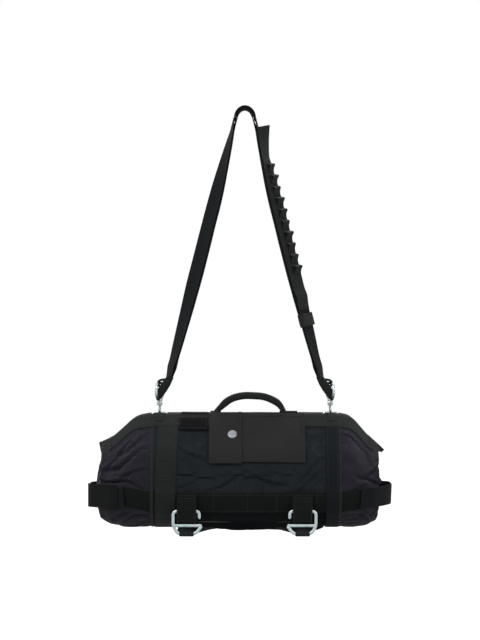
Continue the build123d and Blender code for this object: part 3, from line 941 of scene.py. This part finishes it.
def makeHangers():
    look = hangLook
    half = look["half"]
    for name in ("left", "right"):
        x, buckle = look[name + "Buckle"], name + "_buckle"
        side = 1 if x < 0 else -1
        makeBuckle(name, x)
        rear, front, seam = look["rear"], look["front"], look["seam"]
        corners = [(rear, -768), (rear, -787.5), (front, -787.5), (front, -761), (seam - 0.4, -751),
                   (seam, -731)]
        # the hang loops take the darkened low webbing: painted shade
        ribbonPiece(name + "HangLoop", inYZ(x, roundedPath(corners, 4)), (-half, 0, 0), (half, 0, 0), 1.6,
                    "bag", "shadedLowWebbing", replaces=(name + "_hang_loop",), columns=70)
        corners = [(look["y"] + 5, -807.5), (-90, -807), (-60, -805), (-40, -803.4), (60, -803.4)]
        under = ribbonPiece(name + "BellyStrap", inYZ(x, roundedPath(corners, 20)), (-half, 0, 0), (half, 0, 0),
                            1.7, None, replaces=("belly_straps",), columns=80, sway=0.4)
        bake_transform(under)
        tubeRing(name + "Wrap", x, look["y"], look["bottom"], 3.7, 13.5, buckle, (name + "_belly_wrap",))
        corners = [(x + side * 8, -804.5), (x + side * 30, -800), (x + side * 51, -797)]
        path = inXZ(-103.5, roundedPath(corners, 10))

        def place(u, v, path=path):
            middle = onPath(path, u)
            middle[:, 2] += (v - 0.5) * 11 * (1 - 0.75 * u)
            middle[:, 1] += (v - 0.5) * 6 * (1 - u)
            return middle

        sheet(name + "Tail", 24, 6, place, 1.8, buckle, replaces=(name + "_strap_tail",))
        rows = [((x - 16 + 3.2 * k, seam - 1.0, z), (1, 0, 0), (0, -1, 0))
                for z in (-736, -741, -746, -751) for k in range(11)]
        rows += [((x + edge, front - 0.9, -762 - 2.0 * k), (0, 0, -1), (0, -1, 0))
                 for k in range(13) for edge in (-16.5, 16.5)]
        makeStitches(name + "HangStitches", rows, "bag")


pocketLook = {"left": -68, "right": 114, "bottom": -673, "tabRight": -6, "tabBottom": -677, "top": 31}


def makePocket():
    p = pocketLook
    left, right, tabRight = p["left"], p["right"], p["tabRight"]

    def body(x):
        return shareAtDepth(x, p["top"]), shareAtHeight(x, p["bottom"] - 0.012 * (x + 68))

    def flap(x):
        return shareAtDepth(x, p["top"]), shareAtHeight(x, p["tabBottom"])

    def hem(edge, size):
        return lambda x: (edge(x)[1] - size / lengthAt(x), edge(x)[1] - 0.4 / lengthAt(x))

    def topHem(x):
        return body(x)[0], body(x)[0] + 8.0 / lengthAt(x)

    for name, low, high, share, lift, thick, rider, ripple, columns, rows, node in (
        ("pocketBody", left, right, body, 2.1, 1.5, "bag", 0.45, 70, 40, "pocket"),
        ("pocketHemLow", left + 0.5, right - 0.5, hem(body, 6.0), 3.5, 0.7, "bag", 0.45, None, 8, None),
        ("pocketHemRight", right - 6.5, right - 0.5, body, 3.5, 0.7, "bag", 0.45, None, 50, None),
        ("pocketHemTop", left + 0.5, right - 0.5, topHem, 3.5, 0.7, "bag", 0.45, None, 8, None),
        ("pocketTab", left, tabRight, flap, 4.4, 1.7, "pocket_tab", 0.35, 40, 50, "pocket_tab"),
        ("tabHemLow", left + 0.5, tabRight - 0.5, hem(flap, 7.0), 6.0, 0.7, "pocket_tab", 0.35, None, 8, None),
        ("tabHemRight", tabRight - 6.0, tabRight - 0.2, flap, 6.0, 0.7, "pocket_tab", 0.35, None, 50, None),
    ):
        bagStrip(name, low, high, share, lift, thick, rider, "pocketCloth",
                 (node,) if node else (), columns, rows, ripple)
    makeSnapRim()
    high, low = body(60)
    rows = []
    for fromX, toX, start, end, lift in (
        (tabRight + 3, right - 3, low - 0.009, low - 0.009, 4.5),
        (right - 3, right - 3, high + 0.01, low - 0.009, 4.5),
        (right - 7.5, right - 7.5, high + 0.01, low - 0.009, 3.9),
        (tabRight + 3, right - 3, high + 0.012, high + 0.012, 4.5),
    ):
        rows += seamRow((fromX, start), (toX, end), 3.0, lift)
    makeStitches("pocketStitches", rows, "bag")
    rows = []
    for x in (left + 2.5, left + 9):
        rows += seamRow((x, flap(x)[0] + 0.006), (x, flap(x)[1] - 0.009), 3.0, 6.3)
    high, low = flap(0)
    rows += seamRow((left + 3, low - 0.010), (tabRight - 3, low - 0.010), 3.0, 6.9)
    rows += seamRow((tabRight - 3, high + 0.006), (tabRight - 3, low - 0.010), 3.0, 6.9)
    makeStitches("tabStitches", rows, "pocket_tab")


def makeSnapRim():
    low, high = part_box("snap_cap")
    middle = (Vector(low) + Vector(high)) / 2
    tilt = radians(38.9)
    out = Vector((0, sin(pi / 2 - tilt), -cos(pi / 2 - tilt)))
    deselectAll()
    bpy.ops.mesh.primitive_torus_add(major_segments=48, minor_segments=12,
                                     major_radius=0.0093, minor_radius=0.0011,
                                     location=middle + out * 0.0012, rotation=(pi / 2 - tilt, 0, 0))
    rim = bpy.context.object
    bpy.ops.object.transform_apply(location=True, rotation=True, scale=True)
    rim.data.shade_smooth()
    finishPiece(rim, "snapRim", "pocket_tab", "darkMetal")


def makeLabel():
    def patch(x):
        return shareAtHeight(x, -594.5), shareAtHeight(x, -617)

    bagStrip("labelPatch", -125, -71, patch, 2.1, 1.1, paint="patchCloth",
             replaces=("label_patch",), rows=16)
    bagStrip("labelTopStrip", -121, -70, lambda x: (shareAtDepth(x, 21), shareAtDepth(x, 31)), 2.1, 2.4,
             paint="bandWebbing", replaces=("label_top_strip",), ripple=0.6)
    rows = []
    for z in (-599, -612):
        rows += seamRow((-122, shareAtHeight(-98, z)), (-74, shareAtHeight(-98, z)), 2.6, 3.3)
    for x in (-123, -73):
        rows += seamRow((x, shareAtHeight(x, -596.5)), (x, shareAtHeight(x, -615)), 2.6, 3.3)
    makeStitches("labelStitches", rows, "bag")


handleLook = {"start": -56, "end": 75, "y": -20, "base": -582, "top": -544, "thick": 14.0, "wide": 21}


def makeHandle():
    h = handleLook
    reach, middle, top = h["end"] - h["start"], (h["start"] + h["end"]) / 2, h["top"] - h["thick"] / 2
    path = roundedPath([
        (h["start"], h["base"]), (h["start"] + 0.2 * reach, top - 6), (middle - 0.1 * reach, top + 1),
        (middle + 0.22 * reach, top - 1), (h["end"] - 0.08 * reach, top - 14), (h["end"], h["base"])], 34)

    def place(u, v):
        x, z = onPath(path, u).T
        dx, dz = aheadOn(path, u, 0.01).T
        rolled = np.clip(np.minimum(u, 1 - u) / 0.16, 0, 1)
        thick = 9.0 + (h["thick"] - 9.0) * rolled
        wide = h["wide"] - 4 * rolled
        up, side = squareRound(v, 0.75, 0.75)
        lift = up * thick / 2
        return np.stack([x - dz * lift, h["y"] + side * wide / 2, z + dx * lift], -1)

    grip = weld(makeGrid("handleGrip", 90, 32, place), 0.00005)
    finishPiece(grip, "handleGrip", None, "webbing", ("carry_handle",))
    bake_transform(grip)
    for k, (low, high) in enumerate(((-66, -46), (66, 100))):
        bagStrip("handleFoot" + "AB"[k], low, high, lambda x: (shareAtDepth(x, 11), shareAtDepth(x, 30)), 2.0,
                 4.5, replaces=("handle_feet",), rows=12)


def makeChapes():
    for name, x in (("left", -164), ("right", 164)):
        front = [tuple(bagPoint(x, shareAtDepth(x, y), 2.6)[1:]) for y in (46, 38, 30, 26, 20, 14, 11)]
        corners = front + [(-3.4, -599.6), (-3.4, -596), (-1.9, -593), (1.9, -593), (3.4, -596), (3.4, -599.6)]
        corners += [(-a, b) for a, b in reversed(front)]
        ribbonPiece(name + "RingChape", inYZ(x, roundedPath(corners, 3)), (-6.5, 0, 0), (6.5, 0, 0), 1.2, "bag",
                    replaces=(name + "_ring_chape",), columns=110)


def makeZip():
    for side, share in (("Front", lambda x: (2.2 / lengthAt(x), 17 / lengthAt(x))),
                        ("Back", lambda x: (1 - 2.2 / lengthAt(x), 1 - 17 / lengthAt(x)))):
        bagStrip("zipTape" + side, -176, 176, share, 0.1, 0.8, paint="zipCloth",
                 replaces=("zip_tapes",), columns=90, ripple=0.1)
    spots = []
    for k, x in enumerate(np.arange(-146, 146.1, 1.5)):
        side = -1 if k % 2 else 1
        spots.append(((x, side * 1.0, -599.4), (0.25, side, 0.15), (0, 0, 1)))
    teeth = makeStitches("zipTeeth", spots, "bag", "zipCloth", (2.1, 0.62, 1.1))
    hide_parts("zip_coil")


makeBands()
makeGirths()
makeBandStitches()
makeGrabLoops()
makeHangers()
print("bag webbing ready")
makePocket()
makeLabel()
makeHandle()
makeChapes()
makeZip()
print("pocket, label, handle and zip ready")

# metal and board carried over from the frame

slotPaints = {"hardware": "hookMetal", "buckle_metal": "buckleMetal", "snap_metal": "snapMetal",
              "zip_metal": "darkMetal", "foam_board": "boardFoam", "zip_nylon": "darkMetal"}


def paintNodes():
    for subpart in frame["record"]["subparts"]:
        node = nodes[subpart["node"]]
        if not node.hide_render:
            node.data.materials.clear()
            node.data.materials.append(paints[slotPaints[subpart["material_slot"]]])


# shoulder strap

strapLook = {"start": (17.5, -16), "end": (146, -519), "width": 38, "layer": 1.5,
             "twist": ((0.0, 0), (0.12, 20), (0.3, 38), (0.62, 40), (0.85, 28), (1.0, 16)),
             "stripStart": 0.04, "stripEnd": 0.735, "stripWidth": 36,
             "loopFirst": 0.195, "loopLast": 0.585, "loopCount": 10, "loopWide": 21,
             "keeper": 0.775, "keeperLong": 25}


def legFrame(share, side):
    # middle, along, width and outward directions of one leg of the strap at each share of its length
    share = np.atleast_1d(np.asarray(share, float))
    look = strapLook
    start = np.array([side * look["start"][0], 0, look["start"][1]])
    run = np.array([side * look["end"][0], 0, look["end"][1]]) - start
    along = run / np.linalg.norm(run)
    stops, turns = np.array(look["twist"]).T
    spread = np.clip(share[:, None] + np.linspace(-0.05, 0.05, 5), 0, 1)
    turn = np.radians(np.interp(spread, stops, turns).mean(axis=1)) * side
    level = np.array([0.0, 1.0, 0.0])
    across = np.cross(along, level)
    width = level * np.cos(turn)[:, None] + across * np.sin(turn)[:, None]
    out = np.cross(along, width) * side
    return start + run * share[:, None], np.broadcast_to(along, width.shape), width, out


def strapPath(u):
    # the whole strap from the left end (0) over the top to the right end (1)
    crown = 0.035
    low, high = 0.5 - crown / 2, 0.5 + crown / 2
    share = np.where(u < 0.5, 1 - u / low, (u - high) / (1 - high))
    left, right = legFrame(np.clip(share, 0, 1), -1), legFrame(np.clip(share, 0, 1), 1)
    pick = (u < 0.5)[:, None]
    middle, width, out = [np.where(pick, left[k], right[k]) for k in (0, 2, 3)]
    over = np.clip((u - low) / (high - low), 0, 1)
    inside = ((u > low) & (u < high))[:, None]
    halfTurn = radians(75)
    angle = (over - 0.5) * 2 * halfTurn
    radius = strapLook["start"][0] / sin(halfTurn)
    arch = np.stack([radius * np.sin(angle), 0 * angle, radius * np.cos(angle) - radius + 1.6], -1)
    drop = strapLook["start"][1] - (radius * cos(halfTurn) - radius + 1.6)
    arch[:, 2] += drop * np.abs(2 * over - 1) ** 2
    ring = np.stack([np.sin(angle), 0 * angle, np.cos(angle)], -1)
    middle = np.where(inside, arch, middle)
    width = np.where(inside, np.array([0.0, 1.0, 0.0]), width)
    return middle, width, np.where(inside, ring, out), share


def makeCrownPad():
    # a folded patch fills the strap where it rides over its peg
    def place(u, v):
        middle, width, out, _ = strapPath(0.5 + (u - 0.5) * 0.05)
        a, b = squareRound(v, 0.4, 0.6)
        thin = 0.35 + 0.65 * np.sin(pi * np.clip(u, 0, 1)) ** 0.6
        return middle + width * (a * 18.4)[:, None] + out * (0.05 + b * 2.1 * thin)[:, None]

    pad = weld(makeGrid("crownPad", 40, 32, place))
    finishPiece(pad, "crownPad", "strap", "strapWebbing")


def makeStrap():
    look = strapLook
    for name, lift, node in (("strapOuter", 0.85, "strap_outer_layer"),
                             ("strapInner", -0.85, "strap_inner_layer")):

        def place(u, v, lift=lift):
            middle, width, out, share = strapPath(u)
            over = 0.5 - np.abs(u - 0.5)
            open_ = np.clip((over - 0.455) / 0.03, 0, 1) * 2.3 + np.exp(-((share - 0.955) / 0.025) ** 2) * 1.8
            cup = (2 * v - 1) ** 2 * 0.7 * np.sin(pi * np.clip(share, 0, 1))
            rise = lift + np.sign(lift) * open_ + cup + 0.3 * wave(u * 60, v * 1.5, 2.0)
            slip = -3.6 * np.sin(pi * np.clip(share, 0, 1)) ** 0.5 if lift < 0 else 0.0 * share
            wide = look["width"] * (1 - 0.06 * np.clip((share - 0.9) / 0.1, 0, 1))
            return middle + width * ((v - 0.5) * wide + slip)[:, None] + out * rise[:, None]

        sheet(name, 420, 10, place, look["layer"], "strap", "strapWebbing", replaces=(node,))
    makeCrownPad()
    rows = []
    for side in (-1, 1):
        share = np.linspace(0.06, 0.92, 150)
        middle, along, width, out = legFrame(share, side)
        # none where the keeper slides
        spots = [k for k in range(len(share)) if side < 0 or not 0.74 < share[k] < 0.86]
        rows += [(middle[k] + width[k] * edge + out[k] * face * 1.9, along[k], out[k] * face)
                 for edge in (-16.3, 16.3) for face in (1, -1) for k in spots]
    makeStitches("strapStitches", rows, "strap", size=(1.2, 0.5, 0.35))


def makeLoopStrip():
    look = strapLook

    def place(u, v):
        share = look["stripStart"] + (look["stripEnd"] - look["stripStart"]) * u
        middle, along, width, out = legFrame(share, 1)
        puff = 2.2 * np.exp(-((u - 0.93) / 0.03) ** 2) * np.clip((1 - u) / 0.03, 0, 1)
        free = np.clip(1 - u / 0.17, 0, 1)
        turn = free ** 1.3 * radians(38)
        across = width * np.cos(turn)[:, None] + out * np.sin(turn)[:, None]
        rise = 2.55 + 0.3 * wave(u * 40, v * 2, 4.0) + puff + 10.5 * free ** 1.2
        return middle + across * ((v - 0.5) * look["stripWidth"])[:, None] + out * rise[:, None]

    sheet("loopStrip", 260, 10, place, 1.5, "strap", replaces=("loop_strip",))
    profile = roundedPath([(-9.5, 0.75), (-3, 3.0), (4.4, 9.6), (7.8, 0.9)], 2.6)
    pieces, bars = [], []
    for number, share in enumerate(np.linspace(look["loopFirst"], look["loopLast"], look["loopCount"])):
        origin, along, width, out = [a[0] for a in legFrame(share, 1)]
        tilt = 0.9 + 0.2 * sin(number * 2.3)

        def loopPlace(u, v, origin=origin, along=along, width=width, out=out, tilt=tilt):
            a, b = onPath(profile, u).T
            wide = look["loopWide"] * (1 - 0.05 * np.sin(pi * u))
            return (origin - along * a[:, None] + out * (3.35 + b * tilt)[:, None]
                    + width * ((v - 0.5) * wide + 5.5)[:, None])

        pieces.append(makeGrid("gearLoop", 26, 8, loopPlace))
        thicken(pieces[-1], 1.3)
        bars += [(origin - along * shift + out * rise + width * ((k - 3.5) * 2.5 + 5.5), width, out)
                 for shift, rise in ((-9.2, 3.5), (-8.1, 3.5), (8.2, 3.4), (9.3, 3.4)) for k in range(8)]
    for share in (0.172, 0.175, 0.615, 0.618, 0.72, 0.723):
        origin, along, width, out = [a[0] for a in legFrame(share, 1)]
        bars += [(origin + out * 3.5 + width * (k - 5.5) * 2.7, width, out) for k in range(12)]
    finishPiece(joinPieces(*pieces), "gearLoops", "strap", "webbing", ("gear_loops",))
    makeStitches("loopStitches", bars, "strap", size=(1.6, 0.6, 0.4))


def makeKeeper():
    look = strapLook
    origin, along, width, out = [a[0] for a in legFrame(look["keeper"], 1)]

    def place(u, v):
        a, b = squareRound(u, 0.45, 0.7)
        swell = np.sign(b) * 0.5 * np.sin(pi * v)
        return (origin + width * (a * 22.4)[:, None] + out * (0.8 + b * 5.0 + swell)[:, None]
                + along * ((v - 0.5) * look["keeperLong"])[:, None])

    sleeve = weld(makeGrid("keeperSleeve", 64, 12, place), 0.0001, False)
    thicken(sleeve, 1.9)
    finishPiece(sleeve, "keeperSleeve", "keeper", "bandWebbing", ("keeper",))
    makeStitches("keeperStitches", [(origin + out * 7.4 + along * shift + width * (k - 6) * 2.8, width, out)
                                    for shift in (-9.5, 9.5) for k in range(13)], "keeper")


endLook = {
    "spine": ((142.0, -513), (151.5, -529), (160.5, -543), (168.0, -560)),
    "roll": ((147, -519), (156, -520.5), (163.5, -521.5), (167.5, -526), (166, -532), (159, -535), (153, -537)),
    "rollHalf": 11.5, "rollThick": 4.2,
    "thick": ((0, 0.06, 0.3, 0.6, 0.85, 1), (8.0, 12.5, 15.5, 16.0, 12.0, 4.0)),
    "wide": ((0, 0.35, 0.6, 0.8, 1), (37.5, 36, 31, 26, 14)),
}


def makeStrapEnds():
    look = endLook
    spine, roll, half = roundedPath(look["spine"], 12), roundedPath(look["roll"], 5), look["rollHalf"]
    for name, side in (("left", -1), ("right", 1)):

        def place(u, v, side=side):
            x, z = onPath(spine, u).T
            thick, wide = np.interp(u, *look["thick"]), np.interp(u, *look["wide"])
            a, b = squareRound(v, 0.5, 0.7)
            crease = 1 - 0.22 * np.cos(8 * pi * v) * np.sin(pi * u)
            return np.stack([side * (x + b * thick / 2 * crease), a * wide / 2 - 7 * u ** 3,
                             z + b * thick * 0.2], -1)

        leaf = weld(makeGrid(name + "StrapLeaf", 60, 40, place), 0.0001)
        finishPiece(leaf, name + "StrapLeaf", "strap", "webbing", (name + "_strap_end",))
        ribbonPiece(name + "StrapRoll", inXZ(0, roll, 0, side), (0, -half, 0), (0, half, 0), look["rollThick"],
                    "strap")


def turnedPiece(name, x, profile, squash=1.0):
    # a closed shape of radius and height pairs turned about an upright axis at x
    heights = np.linspace(0, 1, len(profile))
    radii, levels = np.array(profile, float).T

    def place(u, v):
        r, z, angle = np.interp(u, heights, radii), np.interp(u, heights, levels), 2 * pi * v
        return np.stack([x + r * np.cos(angle), r * np.sin(angle) * squash, z], -1)

    return weld(makeGrid(name, 40, 36, place))


# the swivel eye stands a little turned; its bar is a touch wider than it is thick
eyeLook = {
    "x": 164, "turn": 17, "thick": 2.5, "wide": 2.7, "squash": 0.56,
    "ring": ((-2, -556.5), (-15, -556), (-20, -549), (-19.5, -534), (-12, -527), (12, -527), (19.5, -534),
             (20, -549), (15, -556), (2, -556.5)),
    "barrel": ((2.4, -561.8), (5.0, -561.6), (5.5, -560.6), (5.5, -557.8), (4.6, -556.4), (3.4, -555.2),
               (1.2, -554.6)),
    "collar": ((2.2, -562.2), (4.9, -562.4), (5.6, -563.6), (5.4, -567.5), (4.4, -570), (3.0, -570.6)),
}


def makeEyes():
    look = eyeLook
    turn, ring = radians(look["turn"]), roundedPath(look["ring"], 7)
    for name, side in (("left", -1), ("right", 1)):
        x = side * look["x"]
        path = np.stack([x - side * ring[:, 0] * sin(turn), ring[:, 0] * cos(turn), ring[:, 1]], -1)

        def place(u, v, path=path, side=side):
            ahead = aheadOn(path, u)
            first = np.cross(ahead, np.array([cos(turn), side * sin(turn), 0.0]))
            first /= np.linalg.norm(first, axis=1, keepdims=True)
            second = np.cross(ahead, first)
            angle = 2 * pi * v
            return (onPath(path, u) + first * np.cos(angle)[:, None] * look["thick"]
                    + second * np.sin(angle)[:, None] * look["wide"])

        eye = joinPieces(weld(makeGrid(name + "EyeLoop", 110, 20, place)),
                         turnedPiece(name + "EyeBarrel", x, look["barrel"]))
        finishPiece(eye, name + "Eye", "strap", "hookMetal", (name + "_eye",))
        collar = turnedPiece(name + "HookCollar", x, look["collar"], look["squash"])
        finishPiece(collar, name + "HookCollar", name + "_hook", "hookMetal")


boardLook = {"half": (150, 32, 1.6), "z": -790.5, "round": 0.0012}


def makeBoard():
    look = boardLook
    deselectAll()
    bpy.ops.mesh.primitive_cube_add(size=2, location=(0, 0, 0))
    board = bpy.context.object
    board.data.transform(Matrix.Diagonal((*[half / 1000 for half in look["half"]], 1)))
    board.data.transform(Matrix.Translation((0, 0, look["z"] / 1000)))
    applyModifier(board, "BEVEL", width=look["round"], segments=3)
    finishPiece(board, "baseBoard", "bag", "boardFoam", ("base_stiffener",))


def makeBoardPaint():
    paint, tree, shader = newPaint("boardFoam")
    place = addNode(tree, "ShaderNodeTexCoord")
    cells = addNode(tree, "ShaderNodeTexVoronoi", [("Vector", place.outputs["Object"]), ("Scale", 900.0)])
    grain = cells.outputs[0]
    colour = mixColour(tree, grain, (0.02, 0.02, 0.02, 1), (0.07, 0.07, 0.07, 1))
    tree.links.new(colour, shader.inputs["Base Color"])
    bumpFrom(tree, shader, grain, 0.0002)
    shader.inputs["Roughness"].default_value = 0.9
    return paint


makeStrap()
makeLoopStrip()
makeKeeper()
makeStrapEnds()
makeEyes()
paints["boardFoam"] = makeBoardPaint()
makeBoard()
paintNodes()
print("strap and metal ready")
